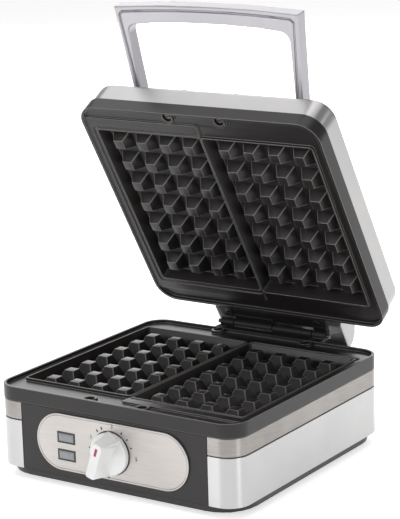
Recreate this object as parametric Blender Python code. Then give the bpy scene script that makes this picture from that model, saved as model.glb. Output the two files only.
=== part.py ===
"""Waffle maker for two waffles, open as it stands on a table.

Metres, +Z up, front towards -Y.  The origin lies on the table, under the middle of the whole
appliance.  Heights are worked out from the tops of the lower plate's pegs, and everything in the
lid is laid out shut and then swung open about the hinge.
"""
import math

import bmesh
import bpy
from mathutils import Matrix, Vector

# ---------------------------------------------------------------- driving dimensions (metres)
PITCH = 0.024                    # spacing of the pegs, both ways
COLUMNS, ROWS = 4, 7             # pegs in one waffle field
GAP = 0.0003                     # clearance between pieces that touch
RUNNING = 0.0001                 # clearance round what turns in a bore
MIDDLE_Y = -0.0101               # middle of the lower plate, in front of the origin

HALF_WIDTH = 4.92 * PITCH        # body outline seen from above
HALF_DEPTH = 4.87 * PITCH
LID_HALF_DEPTH = 4.77 * PITCH     # the lid is a little shorter from front to back
CORNER = 0.0186                  # its corner radius
WALL = 0.0018                    # wall of the sheet and moulded shells

PEG_TOP_Z = 0.0762               # height of the lower peg tops above the table
PEG_TOP = 0.385 * PITCH          # width of a peg at its top
PEG_BASE = 0.76 * PITCH          # and at the cavity floor
PEG_HEIGHT = 0.416 * PITCH
INNER_COLUMN = 0.746 * PITCH     # first column of pegs from the middle
FIELD_EDGE = 0.695 * PITCH       # from the last peg's middle to the field's edge
SHIELD_HALF = (0.1, 0.0935)      # half sizes of the heat shields behind the plates
PLATE_FLOOR = 0.0022             # thickness of the plate under the cavities

RIM_RISE = 0.0020                # outer bead above the peg tops
LIP_RISE = 0.0015                # lip round a field above the peg tops
TROUGH_DROP = 0.0010             # drip trough below the peg tops
PLATFORM_RISE = 0.0006           # flat land round the other field
BEAD = 0.0022                    # thickness of the outer bead
LIP = 0.0012                     # thickness of the raised lip
SKIRT_DROP = 0.0101              # lower edge of the lower plate's skirt
LID_SKIRT = 0.0110               # and of the upper one

PAN_Z = 0.0036                   # underside of the bottom pan
HOUSING_LOW, HOUSING_HIGH = 0.0092, 0.0502
BAND_LOW, BAND_HIGH = 0.0509, 0.0658
PANEL_HALF = 3.8 * PITCH         # half width of the front opening

KNOB_Z = PEG_TOP_Z - 1.60 * PITCH
KNOB_RADIUS = 0.0176
KNOB_REACH = 0.0240              # height of its grip
KNOB_TILT = math.radians(18.0)   # how far the pointer has been turned from upright
DIAL_HALF = 0.0745               # half length of the control plate
DIAL_RADIUS = 0.024              # radius of its round ends
DIAL_Z = PEG_TOP_Z - 1.55 * PITCH
LENS_X = -0.0446
LENS_SIZE = (0.0158, 0.0077)
LENS_ROWS = {"power": PEG_TOP_Z - 0.0330, "ready": PEG_TOP_Z - 0.0478}

OPEN_ANGLE = math.radians(58.87)  # the lid's angle from shut
HINGE_Y = MIDDLE_Y + 5.51 * PITCH
HINGE_Z = PEG_TOP_Z + 0.12 * PITCH
KNUCKLE_RADIUS = 0.00375
PIN_RADIUS = 0.0019
LID_Y = MIDDLE_Y + 0.0016        # middle of the upper plate with the lid shut
LID_PEG_Z = PEG_TOP_Z + 0.0081   # tips of the upper pegs with the lid shut
COVER_LOW = LID_PEG_Z + 0.0113
COVER_HIGH = LID_PEG_Z + 0.0336
HOOD_HALF = 0.066                # half width of the hood behind the lid

SCREW_X, SCREW_Y = 0.0256, 4.56 * PITCH      # screws at the front of each plate
REAR_SCREW_X, REAR_SCREW_Y = 0.0456, 4.64 * PITCH
BRACKET_SCREW_X = 0.0456
FOOT_X, FOOT_Y = 0.094, 0.092
SCREW_RADIUS = 0.0017
HEAD_RADIUS = 0.0036
POST_RADIUS = 0.0042

HANDLE_TILT = math.radians(18.0)             # rise of the handle from the lid's plane
HANDLE_ROOT = (LID_Y - 3.766 * PITCH, COVER_HIGH)
HANDLE_FOOT = -0.030                         # how far the legs run back over the cover
HANDLE_DEPTH = 0.0125
HANDLE_OUTER = (0.0829, 0.0902)              # outer half width, at the root and at the corner
HANDLE_INNER = (0.0763, 0.0794)              # half width of the opening, low and high
HANDLE_REACH = (0.0880, 0.0911)              # outer length, at the corner and at the crown
HANDLE_THROAT = (0.0730, 0.0765)             # length of the opening, at its corner and middle

COLOURS = {
    "nonstick": ((0.030, 0.029, 0.029), 0.42, 0.0),
    "silver": ((0.60, 0.60, 0.61), 0.34, 0.85),
    "steel": ((0.52, 0.49, 0.47), 0.30, 1.0),
    "black": ((0.022, 0.021, 0.021), 0.45, 0.0),
    "knob": ((0.78, 0.78, 0.78), 0.28, 0.1),
    "marker": ((0.42, 0.03, 0.08), 0.40, 0.0),
    "lens": ((0.20, 0.20, 0.21), 0.18, 0.0),
    "rubber": ((0.015, 0.015, 0.015), 0.80, 0.0),
    "screw": ((0.35, 0.35, 0.36), 0.35, 1.0),
    "shield": ((0.62, 0.62, 0.60), 0.35, 1.0),
    "ceramic": ((0.72, 0.70, 0.64), 0.60, 0.0),
    "element": ((0.16, 0.15, 0.14), 0.50, 0.9),
    "amber": ((0.60, 0.20, 0.04), 0.25, 0.0),
}


# ---------------------------------------------------------------- scene and materials
def clear_scene():
    """Remove every object that the scene starts with."""
    for old in list(bpy.data.objects):
        bpy.data.objects.remove(old, do_unlink=True)


def new_collection(name):
    """Make a collection in the scene."""
    made = bpy.data.collections.new(name)
    bpy.context.scene.collection.children.link(made)
    return made


def finish(name):
    """Return the Principled material of that name, making it once."""
    known = bpy.data.materials.get(name)
    if known:
        return known
    colour, roughness, metallic = COLOURS[name]
    made = bpy.data.materials.new(name)
    made.use_nodes = True
    shader = made.node_tree.nodes["Principled BSDF"]
    shader.inputs["Base Color"].default_value = (*colour, 1.0)
    shader.inputs["Roughness"].default_value = roughness
    shader.inputs["Metallic"].default_value = metallic
    return made


clear_scene()
PARTS = new_collection("waffle_maker")
CUTTERS = new_collection("cutters")


# ---------------------------------------------------------------- makers
def piece(name, bm, slot=None):
    """Turn a bmesh into a part, or into a cutter when it has no material slot."""
    bmesh.ops.recalc_face_normals(bm, faces=bm.faces)
    mesh = bpy.data.meshes.new(name)
    bm.to_mesh(mesh)
    bm.free()
    made = bpy.data.objects.new(name, mesh)
    if slot:
        PARTS.objects.link(made)
        mesh.materials.append(finish(slot))
    else:
        CUTTERS.objects.link(made)
        made.hide_render = True
        made.display_type = "WIRE"
    return made


def block(name, low, high, slot=None):
    """A plain box between two corners."""
    bm = bmesh.new()
    bmesh.ops.create_cube(bm, size=1.0)
    low, high = Vector(low), Vector(high)
    bmesh.ops.scale(bm, vec=high - low, verts=bm.verts)
    bmesh.ops.translate(bm, vec=(low + high) / 2, verts=bm.verts)
    return piece(name, bm, slot)


def slab(name, half_x, half_y, z_low, z_high, corner, slot=None, y=MIDDLE_Y, taper=0.0, steps=6,
         soften=0.0):
    """A flat box with rounded upright corners, as seen from above, with its middle at y.

    taper narrows the low end on every side, and soften rounds the edge of the high end.
    """
    bm = bmesh.new()
    bmesh.ops.create_cube(bm, size=1.0)
    bmesh.ops.scale(bm, vec=(2 * half_x, 2 * half_y, z_high - z_low), verts=bm.verts)
    upright = [e for e in bm.edges if abs(e.verts[0].co.z - e.verts[1].co.z) > 1e-6]
    bmesh.ops.bevel(bm, geom=upright, offset=corner, segments=steps, profile=0.5, affect="EDGES")
    if taper:
        for vert in bm.verts:
            if vert.co.z < 0:
                vert.co.x *= (half_x - taper) / half_x
                vert.co.y *= (half_y - taper) / half_y
    if soften:
        top = [e for e in bm.edges if min(v.co.z for v in e.verts) > 0]
        bmesh.ops.bevel(bm, geom=top, offset=soften, segments=3, profile=0.5, affect="EDGES")
    bmesh.ops.translate(bm, vec=(0, y, (z_low + z_high) / 2), verts=bm.verts)
    return piece(name, bm, slot)


def rod(name, start, end, radius, slot=None, sides=20, end_radius=None):
    """A round bar, or a cone with end_radius, from one point to another."""
    start, end = Vector(start), Vector(end)
    bm = bmesh.new()
    bmesh.ops.create_cone(
        bm, cap_ends=True, segments=sides, radius1=radius,
        radius2=radius if end_radius is None else end_radius, depth=(end - start).length,
    )
    turn = (end - start).to_track_quat("Z", "Y").to_matrix().to_4x4()
    bmesh.ops.transform(bm, matrix=Matrix.Translation((start + end) / 2) @ turn, verts=bm.verts)
    made = piece(name, bm, slot)
    made.data.shade_smooth()
    made.data.set_sharp_from_angle(angle=math.radians(40))
    return made


def combine(target, tool, operation):
    """Add a live Boolean to target, and mark the tool as a cutter."""
    step = target.modifiers.new(tool.name, "BOOLEAN")
    step.operation = operation
    step.solver = "EXACT"
    step.object = tool
    return target


def cut(target, *tools):
    """Take each tool's shape away from target."""
    for tool in tools:
        combine(target, tool, "DIFFERENCE")
    return target


def add(target, *tools):
    """Join each tool's shape to target."""
    for tool in tools:
        combine(target, tool, "UNION")
    return target


def screw(name, head, direction, length, radius=SCREW_RADIUS, thickness=0.0018, slot="screw"):
    """A pan-head screw: head is the middle of the head's outer face."""
    head, direction = Vector(head), Vector(direction).normalized()
    profile = [
        (0.0, 0.0), (HEAD_RADIUS * 0.8, 0.0), (HEAD_RADIUS, thickness * 0.35), (HEAD_RADIUS, thickness),
        (radius, thickness), (radius, length), (0.0, length + radius),
    ]
    bm = bmesh.new()
    ring = [bm.verts.new((r, 0.0, depth)) for r, depth in profile]
    for one, two in zip(ring, ring[1:]):
        bm.edges.new((one, two))
    bmesh.ops.spin(
        bm, geom=bm.verts[:] + bm.edges[:], cent=(0, 0, 0), axis=(0, 0, 1), angle=2 * math.pi, steps=12,
    )
    bmesh.ops.remove_doubles(bm, verts=bm.verts, dist=1e-6)
    turn = direction.to_track_quat("Z", "Y").to_matrix().to_4x4()
    bmesh.ops.transform(bm, matrix=Matrix.Translation(head) @ turn, verts=bm.verts)
    made = piece(name, bm, slot)
    cross = block(f"{name}_slot", (-0.0022, -0.0004, -0.001), (0.0022, 0.0004, 0.0008))
    cross.data.transform(Matrix.Translation(head) @ turn)
    return cut(made, cross)


def tube(name, route, radius, slot):
    """A bent round tube through the route's points, turned into a closed mesh."""
    curve = bpy.data.curves.new(name, "CURVE")
    curve.dimensions = "3D"
    curve.bevel_depth = radius
    curve.bevel_resolution = 2
    curve.use_fill_caps = True
    line = curve.splines.new("POLY")
    line.points.add(len(route) - 1)
    for point, place in zip(line.points, route):
        point.co = (*place, 1.0)
    drawn = bpy.data.objects.new(f"{name}_line", curve)
    bm = bmesh.new()
    bm.from_mesh(bpy.data.meshes.new_from_object(drawn))
    bpy.data.objects.remove(drawn, do_unlink=True)
    bmesh.ops.remove_doubles(bm, verts=bm.verts, dist=1e-6)
    made = piece(name, bm, slot)
    made.data.shade_smooth()
    made.data.set_sharp_from_angle(angle=math.radians(50))
    return made


def swing(pivot, names):
    """Carry the named pieces, and the cutters that shape them, on the pivot."""
    carried = set()
    for name in names:
        made = bpy.data.objects[name]
        carried.add(made)
        waiting = [made]
        while waiting:
            for step in waiting.pop().modifiers:
                if step.type == "BOOLEAN" and step.object not in carried:
                    carried.add(step.object)
                    waiting.append(step.object)
    for made in carried:
        made.parent = pivot
        made.location = Vector(made.location) - Vector(pivot.location)


# ---------------------------------------------------------------- the cooking plates
def field_cutter(name, side, y, top_z, up):
    """The sloping cavity of one waffle field, open on the side of its pegs.

    up is +1 for the lower plate, whose cavity opens upwards, and -1 for the upper one.
    """
    middle = side * (INNER_COLUMN + (COLUMNS - 1) / 2 * PITCH)
    reach_x, reach_y = (COLUMNS - 1) / 2 * PITCH, (ROWS - 1) / 2 * PITCH
    wide, narrow = FIELD_EDGE, FIELD_EDGE - 0.195 * PITCH
    slope = (wide - narrow) / (PEG_HEIGHT + LIP_RISE)
    overshoot = 0.004
    bm = bmesh.new()
    bmesh.ops.create_cube(bm, size=1.0)
    for vert in bm.verts:
        mouth = vert.co.z > 0
        spread = wide + slope * overshoot if mouth else narrow
        vert.co.x = math.copysign(reach_x + spread, vert.co.x)
        vert.co.y = math.copysign(reach_y + spread, vert.co.y)
        vert.co.z = LIP_RISE + overshoot if mouth else -PEG_HEIGHT
    bmesh.ops.scale(bm, vec=(1, 1, up), verts=bm.verts)
    bmesh.ops.translate(bm, vec=(middle, y, top_z), verts=bm.verts)
    return piece(name, bm)


def pegs(name, y, top_z, up):
    """All the pegs of one plate, as four-sided frustums that root in its floor."""
    root = 0.001
    slope = (PEG_BASE - PEG_TOP) / PEG_HEIGHT
    half_low = (PEG_BASE + slope * root) / 2
    bm = bmesh.new()
    for side in (-1, 1):
        for column in range(COLUMNS):
            for row in range(ROWS):
                made = bmesh.ops.create_cone(
                    bm, cap_ends=True, segments=4, radius1=half_low * math.sqrt(2),
                    radius2=PEG_TOP / math.sqrt(2), depth=PEG_HEIGHT + root,
                    matrix=Matrix.Rotation(math.radians(45), 4, "Z"),
                )
                place = Vector((
                    side * (INNER_COLUMN + column * PITCH),
                    (row - (ROWS - 1) / 2) * PITCH,
                    -(PEG_HEIGHT + root) / 2,
                ))
                bmesh.ops.translate(bm, vec=place, verts=made["verts"])
    bmesh.ops.scale(bm, vec=(1, 1, up), verts=bm.verts)
    bmesh.ops.translate(bm, vec=(0, y, top_z), verts=bm.verts)
    return piece(name, bm)


def plate(name, half_depth, y, top_z, up, skirt):
    """One cast plate.  up is +1 when the pegs point up; the lip is on the left when they do."""
    def layer(tag, one, two, xs, ys):
        """A block between two heights over the peg tops, and between two edges each way."""
        heights = sorted((top_z + up * one, top_z + up * two))
        return block(f"{name}_{tag}", (min(xs), y + min(ys), heights[0]),
                     (max(xs), y + max(ys), heights[1]))

    field_x = INNER_COLUMN + (COLUMNS - 1) * PITCH + FIELD_EDGE
    field_y = (ROWS - 1) / 2 * PITCH + FIELD_EDGE
    inner_x = INNER_COLUMN - FIELD_EDGE

    heights = sorted((top_z - up * skirt, top_z + up * RIM_RISE))
    made = slab(name, HALF_WIDTH, half_depth, *heights, CORNER, "nonstick", y=y)
    heights = sorted((top_z - up * TROUGH_DROP, top_z + up * (RIM_RISE + 0.002)))
    cut(made, slab(f"{name}_trough", HALF_WIDTH - BEAD, half_depth - BEAD, *heights, CORNER - BEAD, y=y))

    around = field_y + LIP
    lip = layer("lip", -0.004, LIP_RISE, (-up * (field_x + LIP), -up * (inner_x - LIP)), (-around, around))
    around = field_y + 0.013
    xs = (up * (inner_x - LIP), up * (HALF_WIDTH - 0.001))
    land = layer("land", -0.004, PLATFORM_RISE, xs, (-around, around))
    add(made, land, lip)
    around = field_y + 0.0042
    groove = layer("groove", PLATFORM_RISE - 0.0012, PLATFORM_RISE + 0.004,
                   (up * (inner_x - 0.0002), up * (field_x + 0.0042)), (-around, around))
    around = field_y + 0.0014
    xs = (up * (inner_x - 0.002), up * (field_x + 0.0014))
    ridge = layer("ridge", -0.006, PLATFORM_RISE, xs, (-around, around))
    cut(made, groove)
    add(made, ridge)

    heights = sorted((top_z - up * (skirt - 0.001), top_z - up * (PEG_HEIGHT + PLATE_FLOOR)))
    add(made, slab(f"{name}_belly", field_x - 0.003, field_y - 0.003, *heights, 0.010, y=y, steps=3))
    for side, word in ((-1, "left"), (1, "right")):
        cut(made, field_cutter(f"{name}_field_{word}", side, y, top_z, up))
    add(made, pegs(f"{name}_pegs", y, top_z, up))

    inner_wall = HALF_WIDTH - 0.024
    for end in (-1, 1):
        ys = (end * (field_y + 0.002), end * (half_depth - 0.002))
        cut(made, layer(f"hollow_{end}", -skirt - 0.002, -0.0042, (-inner_wall, inner_wall), ys))
    for x, screw_y in plate_screw_places(up):
        above = (x, y + screw_y, top_z + up * 0.006)
        through, sunk = (*above[:2], top_z - up * 0.012), (*above[:2], top_z - up * 0.0022)
        cut(made, rod(f"{name}_hole", through, above, SCREW_RADIUS + GAP, sides=12),
            rod(f"{name}_dimple", sunk, above, HEAD_RADIUS + 0.0006, sides=16))
    return made


def plate_screw_places(up):
    """Screws of a plate, from its middle: two at the front, and at the rear of the lower one two more."""
    places = [(-SCREW_X, -SCREW_Y), (SCREW_X, -SCREW_Y)]
    if up > 0:
        places += [(-REAR_SCREW_X, REAR_SCREW_Y), (REAR_SCREW_X, REAR_SCREW_Y)]
    return places


def corner_name(x, y):
    """A corner's name in plain words."""
    return f"{'front' if y < 0 else 'rear'}_{'left' if x < 0 else 'right'}"


def heater(name, y, z):
    """The tubular element: one rounded loop whose ends turn back to the terminals."""
    half, bend, gap_half, tail = 0.076, 0.020, 0.014, 0.024
    route = [(gap_half, half + tail), (gap_half, half + bend * 0.6)]
    turns = [
        ((gap_half + bend * 0.6, half + bend * 0.6), math.pi, 1.5 * math.pi, bend * 0.6),
        ((half - bend, half - bend), 0.5 * math.pi, 0.0, bend),
        ((half - bend, bend - half), 0.0, -0.5 * math.pi, bend),
    ]
    for (centre_x, centre_y), start, stop, radius in turns:
        for step in range(6):
            angle = start + (stop - start) * step / 5
            route.append((centre_x + radius * math.cos(angle), centre_y + radius * math.sin(angle)))
    route += [(-across, along) for across, along in reversed(route)]
    return tube(name, [(across, along + y, z) for across, along in route], 0.0032, "element")


def heat_shield(name, y, mouth_z, floor_z):
    """A thin pressed tray that throws the element's heat back at the plate."""
    (half_x, half_y), sheet = SHIELD_HALF, 0.0008
    up = 1 if mouth_z > floor_z else -1
    made = slab(name, half_x, half_y, *sorted((mouth_z, floor_z)), 0.012, "shield", y=y, steps=3)
    inside = sorted((mouth_z + up * 0.002, floor_z + up * sheet))
    cut(made, slab(f"{name}_inside", half_x - sheet, half_y - sheet, *inside, 0.012 - sheet, y=y, steps=3))
    low, high = sorted((mouth_z + up * 0.002, floor_z + up * 0.0015))
    for side in (-1, 1):
        cut(made, block(f"{name}_notch_{side}", (side * 0.014 - 0.0045, y + half_y - 0.004, low),
                        (side * 0.014 + 0.0045, y + half_y + 0.004, high)))
    return made


def fuse(name, y, z):
    """A thermal fuse in its sleeve, lying against the plate."""
    made = rod(name, (-0.010, y, z), (0.010, y, z), 0.0024, "ceramic", sides=12)
    return add(made, rod(f"{name}_lead", (-0.024, y, z), (0.024, y, z), 0.0007, sides=8))


# ---------------------------------------------------------------- base
def pan():
    """The black bottom tray, with vents, posts for the plate screws and holes for the feet."""
    half_x, half_y, corner = HALF_WIDTH - 0.001, HALF_DEPTH - 0.001, 0.030
    made = slab("bottom_pan", half_x, half_y, PAN_Z, HOUSING_LOW - GAP, corner, "black", taper=0.0012)
    inset = WALL + GAP
    upstand = slab("pan_upstand", half_x - inset, half_y - 0.0045, PAN_Z + 0.001, HOUSING_LOW + 0.005,
                   corner - inset)
    add(made, upstand)
    hollow = inset + 0.0018
    cut(made, slab("pan_inside", half_x - hollow, half_y - 0.0063, PAN_Z + 0.002, HOUSING_LOW + 0.006,
                   corner - hollow))
    for number, (x, from_middle) in enumerate(plate_screw_places(1)):
        y, inward = MIDDLE_Y + from_middle, math.copysign(0.0014, -from_middle)
        add(made, rod(f"pan_post_{number}", (x, y + inward, PAN_Z + 0.001), (x, y + inward,
                                                                             PEG_TOP_Z - 0.0045),
                      POST_RADIUS, sides=14))
        cut(made, rod(f"pan_post_bore_{number}", (x, y, PEG_TOP_Z - 0.022), (x, y, PEG_TOP_Z),
                      SCREW_RADIUS + GAP, sides=10))
    for row in range(7):
        y = MIDDLE_Y + (row - 3) * 0.011
        cut(made, block(f"pan_vent_{row}", (-0.03, y - 0.002, 0.0), (0.03, y + 0.002, PAN_Z + 0.003)))
    for x, y, tag in feet_places():
        cut(made, rod(f"pan_foot_hole_{tag}", (x, y, 0.0), (x, y, 0.01), SCREW_RADIUS + GAP, sides=10))
    return made


def feet_places():
    """Where the four feet stand, with the name of each corner."""
    return [
        (side * FOOT_X, MIDDLE_Y + end * FOOT_Y, corner_name(side, end))
        for end in (-1, 1) for side in (-1, 1)
    ]


def feet():
    """Rubber feet, each with the screw that holds it, the pan and the housing together."""
    for x, y, tag in feet_places():
        foot = rod(f"foot_{tag}", (x, y, 0.0), (x, y, PAN_Z - GAP), 0.0098, "rubber", sides=24,
                   end_radius=0.0105)
        cut(foot, rod(f"foot_well_{tag}", (x, y, -0.001), (x, y, 0.0018), HEAD_RADIUS + GAP, sides=14),
            rod(f"foot_bore_{tag}", (x, y, -0.001), (x, y, 0.004), SCREW_RADIUS + GAP, sides=10))
        screw(f"foot_screw_{tag}", (x, y, 0.0002), (0, 0, 1), 0.022, thickness=0.0013)


def wrap(name, low, high, slot, inset=0.0):
    """A sheet wall round the left, the back and the right, with returns at the front."""
    made = slab(name, HALF_WIDTH - inset, HALF_DEPTH - inset, low, high, CORNER - inset, slot)
    inner = inset + WALL
    cut(made, slab(f"{name}_inside", HALF_WIDTH - inner, HALF_DEPTH - inner, low - 0.01, high + 0.01,
                   CORNER - inner),
        block(f"{name}_front", (-PANEL_HALF, MIDDLE_Y - HALF_DEPTH - 0.01, low - 0.01),
              (PANEL_HALF, MIDDLE_Y - HALF_DEPTH + 0.02, high + 0.01)))
    return made


def housing():
    """The silver lower housing, with a boss and a web in each corner for the foot screws."""
    made = wrap("lower_housing", HOUSING_LOW, HOUSING_HIGH, "silver")
    boss_low = HOUSING_LOW + 0.0055
    for x, y, tag in feet_places():
        side = math.copysign(1, x)
        inner, outer = sorted((x, side * (HALF_WIDTH - WALL / 2)))
        add(made, block(f"housing_web_{tag}", (inner, y - 0.002, boss_low), (outer, y + 0.002, 0.034)),
            rod(f"housing_boss_{tag}", (x, y, boss_low), (x, y, 0.034), 0.0055, sides=14))
        cut(made, rod(f"housing_bore_{tag}", (x, y, 0.0), (x, y, 0.030), SCREW_RADIUS + GAP, sides=10))
    gland_hole = rod("housing_gland_hole", (-0.07, MIDDLE_Y + HALF_DEPTH - 0.01, 0.024),
                     (-0.07, MIDDLE_Y + HALF_DEPTH + 0.01, 0.024), 0.0075 + GAP, sides=20)
    return cut(made, gland_hole)


def front_panel():
    """The black front, a step forward between the silver returns."""
    face = MIDDLE_Y - HALF_DEPTH + 0.0004
    back = MIDDLE_Y - HALF_DEPTH + WALL + 2 * GAP
    low, high = HOUSING_LOW - 0.0001, PEG_TOP_Z - SKIRT_DROP - GAP
    made = block("front_panel", (-PANEL_HALF - 0.006, back, low),
                 (PANEL_HALF + 0.006, back + 0.0018, high), "black")
    add(made, block("panel_step", (-PANEL_HALF + GAP, face, low), (PANEL_HALF - GAP, back + 0.001, high)))
    cut(made, *window_cutters("panel"), shaft_hole("panel", 0.0045))
    return made


def window_cutters(tag):
    """Openings for the two indicator lenses."""
    wide, tall = LENS_SIZE
    return [
        block(f"{tag}_window_{row}", (LENS_X - wide / 2 - GAP, MIDDLE_Y - HALF_DEPTH - 0.01,
                                      z - tall / 2 - GAP),
              (LENS_X + wide / 2 + GAP, MIDDLE_Y - HALF_DEPTH + 0.02, z + tall / 2 + GAP))
        for row, z in LENS_ROWS.items()
    ]


def shaft_hole(tag, radius):
    """A round hole on the knob's axis."""
    return rod(f"{tag}_shaft_hole", (0, MIDDLE_Y - HALF_DEPTH - 0.02, KNOB_Z),
               (0, MIDDLE_Y - HALF_DEPTH + 0.02, KNOB_Z), radius, sides=20)


def control_plate():
    """The long plate with round ends that carries the scale and the lenses."""
    back = MIDDLE_Y - HALF_DEPTH + 0.0004 - GAP
    front = back - 0.0014
    bm = bmesh.new()
    bmesh.ops.create_cube(bm, size=1.0)
    bmesh.ops.scale(bm, vec=(2 * DIAL_HALF, back - front, 2 * DIAL_RADIUS), verts=bm.verts)
    ends = [e for e in bm.edges if abs(e.verts[0].co.y - e.verts[1].co.y) > 1e-6]
    bmesh.ops.bevel(bm, geom=ends, offset=DIAL_RADIUS * 0.99, segments=10, profile=0.5, affect="EDGES")
    bmesh.ops.translate(bm, vec=(0, (back + front) / 2, DIAL_Z), verts=bm.verts)
    made = piece("control_plate", bm, "steel")
    return cut(made, *window_cutters("dial"), shaft_hole("dial", 0.0045))


def lenses():
    """Two indicator windows, with the lamps and the board behind them."""
    wide, tall = LENS_SIZE
    front = MIDDLE_Y - HALF_DEPTH - 0.0016
    board = MIDDLE_Y - HALF_DEPTH + 0.020
    for row, z in LENS_ROWS.items():
        block(f"{row}_lens", (LENS_X - wide / 2, front, z - tall / 2),
              (LENS_X + wide / 2, front + 0.0075, z + tall / 2), "lens")
        rod(f"{row}_lamp", (LENS_X, front + 0.009, z), (LENS_X, board - GAP, z), 0.0026, "amber", sides=14)
    low, high = LENS_ROWS["ready"] - 0.009, LENS_ROWS["power"] + 0.009
    block("lamp_board", (LENS_X - 0.012, board, low), (LENS_X + 0.012, board + 0.0016, high), "black")


def thermostat():
    """Body behind the panel, and the shaft that the knob turns."""
    panel_back = MIDDLE_Y - HALF_DEPTH + WALL + 2 * GAP + 0.0018
    body = block("thermostat_body", (-0.013, panel_back + GAP + 0.0015, KNOB_Z - 0.014),
                 (0.013, panel_back + 0.020, KNOB_Z + 0.014), "ceramic")
    add(body, rod("thermostat_collar", (0, panel_back - 0.001, KNOB_Z), (0, panel_back + 0.004, KNOB_Z),
                  0.0042, sides=16))
    cut(body, rod("thermostat_bore", (0, panel_back - 0.02, KNOB_Z), (0, panel_back + 0.012, KNOB_Z),
                  0.003 + RUNNING, sides=16))
    bracket = block("thermostat_bracket", (-0.018, panel_back + GAP, KNOB_Z - 0.016),
                    (0.018, panel_back + 0.0015, KNOB_Z + 0.016), "screw")
    cut(bracket, rod("bracket_hole", (0, panel_back - 0.01, KNOB_Z), (0, panel_back + 0.01, KNOB_Z),
                     0.0045, sides=16))
    rod("thermostat_shaft", (0, MIDDLE_Y - HALF_DEPTH - 0.013, KNOB_Z), (0, panel_back + 0.011, KNOB_Z),
        0.003, "screw", sides=16)


def knob():
    """Round base, domed face and the tall grip that crosses it, made upright and then turned."""
    back = MIDDLE_Y - HALF_DEPTH - 0.0016
    profile = [(0.0, 0.0), (KNOB_RADIUS, 0.0), (KNOB_RADIUS - 0.0006, 0.0042)]
    profile += [(KNOB_RADIUS * 0.93 * math.cos(a), 0.0048 + 0.0075 * math.sin(a))
                for a in [math.radians(step * 15) for step in range(6)]]
    profile.append((0.0, 0.0124))
    bm = bmesh.new()
    ring = [bm.verts.new((r, -height, 0.0)) for r, height in profile]
    for one, two in zip(ring, ring[1:]):
        bm.edges.new((one, two))
    bmesh.ops.spin(bm, geom=bm.verts[:] + bm.edges[:], cent=(0, 0, 0), axis=(0, 1, 0), angle=2 * math.pi,
                   steps=32)
    bmesh.ops.remove_doubles(bm, verts=bm.verts, dist=1e-6)
    made = piece("knob", bm, "knob")
    made.data.shade_smooth()
    made.data.set_sharp_from_angle(angle=math.radians(35))

    fin = bmesh.new()
    bmesh.ops.create_cube(fin, size=1.0)
    for vert in fin.verts:
        tip = vert.co.y < 0
        vert.co.x = math.copysign(0.0042 if tip else 0.0078, vert.co.x)
        vert.co.z = math.copysign(0.0155 if tip else 0.0172, vert.co.z)
        vert.co.y = -KNOB_REACH if tip else -0.002
    bmesh.ops.bevel(fin, geom=fin.edges[:], offset=0.0008, segments=2, profile=0.5, affect="EDGES")
    grip = piece("knob_grip", fin)
    socket = rod("knob_socket", (0, 0.001, 0), (0, -0.0125, 0), 0.003 + GAP, sides=16)
    seat = block("knob_marker_seat", (-0.0012, -0.03, 0.0068), (0.0012, -KNOB_REACH + 0.0007, 0.0142))
    add(made, grip)
    cut(made, socket, seat)
    marker = block("knob_marker", (-0.0009, -KNOB_REACH - 0.0002, 0.0071),
                   (0.0009, -KNOB_REACH + 0.0004, 0.0139), "marker")
    turn = Matrix.Translation((0, back, KNOB_Z)) @ Matrix.Rotation(KNOB_TILT, 4, "Y")
    for part in (made, grip, socket, seat, marker):
        part.matrix_world = turn


def rear_services():
    """Terminal block, cord gland and the block that carries the hinge."""
    rear = MIDDLE_Y + HALF_DEPTH
    terminal = block("terminal_block", (-0.020, rear - 0.050, PAN_Z + 0.002 + GAP),
                     (0.020, rear - 0.032, 0.020), "ceramic")
    for slot in (-1, 0, 1):
        x = slot * 0.012
        cut(terminal, rod(f"terminal_way_{slot}", (x, rear - 0.06, 0.013), (x, rear - 0.02, 0.013), 0.0025,
                          sides=10))
    gland = rod("cord_gland", (-0.07, rear - 0.012, 0.024), (-0.07, rear + 0.006, 0.024), 0.0075, "rubber",
                sides=20)
    add(gland, rod("gland_flange", (-0.07, rear + GAP, 0.024), (-0.07, rear + 0.0035, 0.024), 0.0105,
                   sides=20))
    cut(gland, rod("gland_bore", (-0.07, rear - 0.03, 0.024), (-0.07, rear + 0.03, 0.024), 0.0036,
                   sides=14))
    carrier = block("hinge_carrier", (-0.060, rear + GAP, PEG_TOP_Z - 0.034),
                    (0.060, rear + 0.0105, PEG_TOP_Z - 0.0018),
                    "black")
    for side in (-1, 1):
        x, y = side * BRACKET_SCREW_X, rear + 0.0058
        cut(carrier, rod(f"carrier_bore_{side}", (x, y, PEG_TOP_Z - 0.016), (x, y, PEG_TOP_Z + 0.01),
                         SCREW_RADIUS + GAP,
                         sides=10))


# ---------------------------------------------------------------- hinge
KNUCKLES = (-0.0552, -0.0408, 0.0, 0.0408, 0.0552)   # ends of the four knuckles along X
BASE_LEAF = (PEG_TOP_Z - 0.0015, PEG_TOP_Z + 0.0010)  # undersides and tops of the two leaves
LID_LEAF = (PEG_TOP_Z + 0.0065, PEG_TOP_Z + 0.0090)
BASE_LEAF_SCREW_Y = MIDDLE_Y + HALF_DEPTH + 0.0058
LID_LEAF_SCREW_Y = LID_Y + LID_HALF_DEPTH + 0.0054


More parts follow.
